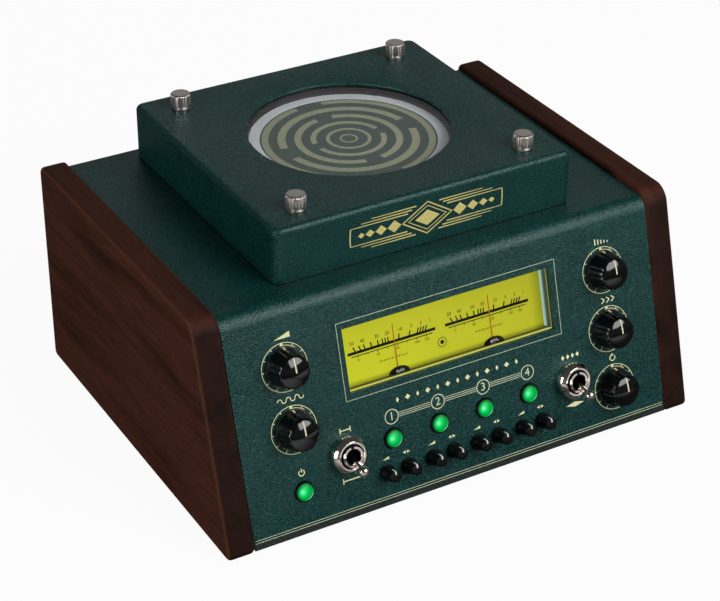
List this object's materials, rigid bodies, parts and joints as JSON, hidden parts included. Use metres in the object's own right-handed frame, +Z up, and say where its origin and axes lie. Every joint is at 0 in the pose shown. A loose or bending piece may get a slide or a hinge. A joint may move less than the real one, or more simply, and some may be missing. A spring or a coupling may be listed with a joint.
{
  "type": "drum delay unit",
  "caption": "Table-top drum delay with sloped control panel, twin level meter, knobs, lit buttons, toggles, wooden cheeks and a lift-off lid with a round window over the drum.",
  "frame": {"origin": "on the floor, in the middle of the outer box", "axes": "+X to the right seen from the control panel, +Y to the back, +Z up"},
  "size_m": [0.2914, 0.2368, 0.1639],
  "materials": {
    "green_powder_coat": "textured dark green powder coat with fine light speckle",
    "walnut": "dark oiled walnut, grain front to back",
    "black_rubber": "plain black rubber",
    "zinc_steel": "zinc plated steel",
    "black_plastic": "black moulded plastic",
    "window_seal": "dark brown-black ring",
    "meter_yellow": "back-lit yellow dial with black scales",
    "clear_acrylic": "clear polished acrylic",
    "needle_red": "red-orange paint",
    "movement_steel": "satin steel",
    "chrome": "polished chrome",
    "green_lens": "lit green lens",
    "knob_black": "gloss black with an ivory pointer line",
    "circuit_board": "green solder mask",
    "brass": "turned brass",
    "aluminium": "satin aluminium",
    "drum_face": "dark grey-green enamel with a khaki spiral",
    "drum_rim_metal": "turned satin metal",
    "nickel": "nickel plated, straight knurl"
  },
  "bodies": {
    "case": {"case_wrap": "green_powder_coat", "base_tray": "green_powder_coat", "rear_panel": "green_powder_coat", "left_cheek": "walnut", "right_cheek": "walnut", "cheek_screws": "zinc_steel", "rubber_feet": "black_rubber", "meter_housing": "black_plastic", "meter_dial": "meter_yellow", "meter_window": "clear_acrylic", "meter_pivot_covers": "black_plastic", "meter_movements": "movement_steel", "toggle_switches": "chrome", "toggle_nuts": "chrome", "button_bezels": "black_plastic", "button_switches": "black_plastic", "pot_bodies": "zinc_steel", "small_pots": "black_plastic", "control_boards": "circuit_board", "main_board": "circuit_board", "motor": "zinc_steel", "drive_belt": "black_rubber", "deck_plate": "aluminium", "drum_bearing": "brass", "magnetic_heads": "movement_steel", "rear_sockets": "black_plastic", "lid_posts": "aluminium"},
    "drum": {"drum_disc": "drum_face", "drum_rim": "drum_rim_metal", "drum_spindle": "drum_rim_metal"},
    "motor_pulley": {"motor_pulley": "brass"},
    "lid": {"lid_shell": "green_powder_coat", "lid_window": "clear_acrylic", "window_retainer": "window_seal"},
    "thumbscrew_1": {"thumbscrew_1": "nickel"},
    "thumbscrew_2": {"thumbscrew_2": "nickel"},
    "thumbscrew_3": {"thumbscrew_3": "nickel"},
    "thumbscrew_4": {"thumbscrew_4": "nickel"},
    "gain_knob": {"gain_knob": "knob_black"},
    "tone_knob": {"tone_knob": "knob_black"},
    "echo_knob": {"echo_knob": "knob_black"},
    "speed_knob": {"speed_knob": "knob_black"},
    "repeat_knob": {"repeat_knob": "knob_black"},
    "volume_knob_1": {"volume_knob_1": "knob_black"},
    "balance_knob_1": {"balance_knob_1": "knob_black"},
    "volume_knob_2": {"volume_knob_2": "knob_black"},
    "balance_knob_2": {"balance_knob_2": "knob_black"},
    "volume_knob_3": {"volume_knob_3": "knob_black"},
    "balance_knob_3": {"balance_knob_3": "knob_black"},
    "volume_knob_4": {"volume_knob_4": "knob_black"},
    "balance_knob_4": {"balance_knob_4": "knob_black"},
    "bypass_button": {"bypass_button": "green_lens"},
    "head_button_1": {"head_button_1": "green_lens"},
    "head_button_2": {"head_button_2": "green_lens"},
    "head_button_3": {"head_button_3": "green_lens"},
    "head_button_4": {"head_button_4": "green_lens"},
    "time_toggle_lever": {"time_toggle_lever": "chrome"},
    "mode_toggle_lever": {"mode_toggle_lever": "chrome"},
    "left_needle": {"left_needle": "needle_red"},
    "right_needle": {"right_needle": "needle_red"}
  },
  "joints": [
    {"name": "drum_spin", "type": "hinge", "parent": "case", "child": "drum", "pos_m": [0, 0.02436, 0.1407], "axis": [0, 0, 1], "continuous": true},
    {"name": "motor_spin", "type": "hinge", "parent": "case", "child": "motor_pulley", "pos_m": [-0.03371, 0.05264, 0.1307], "axis": [0, 0, 1], "continuous": true},
    {"name": "lid_lift", "type": "slide", "parent": "case", "child": "lid", "axis": [0, 0, 1], "range_m": [0, 0.06]},
    {"name": "thumbscrew_1_turn", "type": "hinge", "parent": "lid", "child": "thumbscrew_1", "pos_m": [-0.0693, -0.04284, 0.1549], "axis": [0, 0, 1], "continuous": true},
    {"name": "thumbscrew_2_turn", "type": "hinge", "parent": "lid", "child": "thumbscrew_2", "pos_m": [0.0693, -0.04284, 0.1549], "axis": [0, 0, 1], "continuous": true},
    {"name": "thumbscrew_3_turn", "type": "hinge", "parent": "lid", "child": "thumbscrew_3", "pos_m": [0.0693, 0.09156, 0.1549], "axis": [0, 0, 1], "continuous": true},
    {"name": "thumbscrew_4_turn", "type": "hinge", "parent": "lid", "child": "thumbscrew_4", "pos_m": [-0.0693, 0.09156, 0.1549], "axis": [0, 0, 1], "continuous": true},
    {"name": "gain_knob_turn", "type": "hinge", "parent": "case", "child": "gain_knob", "pos_m": [-0.0983, -0.08292, 0.09069], "axis": [0, -0.9617, 0.274], "range_deg": [-150, 150]},
    {"name": "tone_knob_turn", "type": "hinge", "parent": "case", "child": "tone_knob", "pos_m": [-0.0983, -0.09223, 0.05799], "axis": [0, -0.9617, 0.274], "range_deg": [-150, 150]},
    {"name": "echo_knob_turn", "type": "hinge", "parent": "case", "child": "echo_knob", "pos_m": [0.0983, -0.08292, 0.09069], "axis": [0, -0.9617, 0.274], "range_deg": [-150, 150]},
    {"name": "speed_knob_turn", "type": "hinge", "parent": "case", "child": "speed_knob", "pos_m": [0.0983, -0.09223, 0.05799], "axis": [0, -0.9617, 0.274], "range_deg": [-150, 150]},
    {"name": "repeat_knob_turn", "type": "hinge", "parent": "case", "child": "repeat_knob", "pos_m": [0.0983, -0.10155, 0.02529], "axis": [0, -0.9617, 0.274], "range_deg": [-150, 150]},
    {"name": "volume_knob_1_turn", "type": "hinge", "parent": "case", "child": "volume_knob_1", "pos_m": [-0.0491, -0.10294, 0.02039], "axis": [0, -0.9617, 0.274], "range_deg": [-150, 150]},
    {"name": "balance_knob_1_turn", "type": "hinge", "parent": "case", "child": "balance_knob_1", "pos_m": [-0.0361, -0.10294, 0.02039], "axis": [0, -0.9617, 0.274], "range_deg": [-150, 150]},
    {"name": "volume_knob_2_turn", "type": "hinge", "parent": "case", "child": "volume_knob_2", "pos_m": [-0.0207, -0.10294, 0.02039], "axis": [0, -0.9617, 0.274], "range_deg": [-150, 150]},
    {"name": "balance_knob_2_turn", "type": "hinge", "parent": "case", "child": "balance_knob_2", "pos_m": [-0.0077, -0.10294, 0.02039], "axis": [0, -0.9617, 0.274], "range_deg": [-150, 150]},
    {"name": "volume_knob_3_turn", "type": "hinge", "parent": "case", "child": "volume_knob_3", "pos_m": [0.0077, -0.10294, 0.02039], "axis": [0, -0.9617, 0.274], "range_deg": [-150, 150]},
    {"name": "balance_knob_3_turn", "type": "hinge", "parent": "case", "child": "balance_knob_3", "pos_m": [0.0207, -0.10294, 0.02039], "axis": [0, -0.9617, 0.274], "range_deg": [-150, 150]},
    {"name": "volume_knob_4_turn", "type": "hinge", "parent": "case", "child": "volume_knob_4", "pos_m": [0.0361, -0.10294, 0.02039], "axis": [0, -0.9617, 0.274], "range_deg": [-150, 150]},
    {"name": "balance_knob_4_turn", "type": "hinge", "parent": "case", "child": "balance_knob_4", "pos_m": [0.0491, -0.10294, 0.02039], "axis": [0, -0.9617, 0.274], "range_deg": [-150, 150]},
    {"name": "bypass_button_press", "type": "slide", "parent": "case", "child": "bypass_button", "axis": [0, 0.9617, -0.274], "range_m": [0, 0.0015], "stiffness_N_per_m": 250, "springref_m": -0.0005},
    {"name": "head_button_1_press", "type": "slide", "parent": "case", "child": "head_button_1", "axis": [0, 0.9617, -0.274], "range_m": [0, 0.0015], "stiffness_N_per_m": 250, "springref_m": -0.0005},
    {"name": "head_button_2_press", "type": "slide", "parent": "case", "child": "head_button_2", "axis": [0, 0.9617, -0.274], "range_m": [0, 0.0015], "stiffness_N_per_m": 250, "springref_m": -0.0005},
    {"name": "head_button_3_press", "type": "slide", "parent": "case", "child": "head_button_3", "axis": [0, 0.9617, -0.274], "range_m": [0, 0.0015], "stiffness_N_per_m": 250, "springref_m": -0.0005},
    {"name": "head_button_4_press", "type": "slide", "parent": "case", "child": "head_button_4", "axis": [0, 0.9617, -0.274], "range_m": [0, 0.0015], "stiffness_N_per_m": 250, "springref_m": -0.0005},
    {"name": "time_toggle_lever_flip", "type": "hinge", "parent": "case", "child": "time_toggle_lever", "pos_m": [-0.0707, -0.1001, 0.03767], "axis": [-1, 0, 0], "range_deg": [0, 40]},
    {"name": "mode_toggle_lever_flip", "type": "hinge", "parent": "case", "child": "mode_toggle_lever", "pos_m": [0.0707, -0.1001, 0.03767], "axis": [-1, 0, 0], "range_deg": [0, 40]},
    {"name": "left_needle_swing", "type": "hinge", "parent": "case", "child": "left_needle", "pos_m": [-0.0296, -0.08053, 0.06329], "axis": [0, -0.9617, 0.274], "range_deg": [-40, 40], "stiffness_Nm_per_rad": 0.00005},
    {"name": "right_needle_swing", "type": "hinge", "parent": "case", "child": "right_needle", "pos_m": [0.0296, -0.08053, 0.06329], "axis": [0, -0.9617, 0.274], "range_deg": [-40, 40], "stiffness_Nm_per_rad": 0.00005}
  ],
  "couplings": [
    {"joint": "motor_spin", "follows": "drum_spin", "ratio": 4}
  ]
}
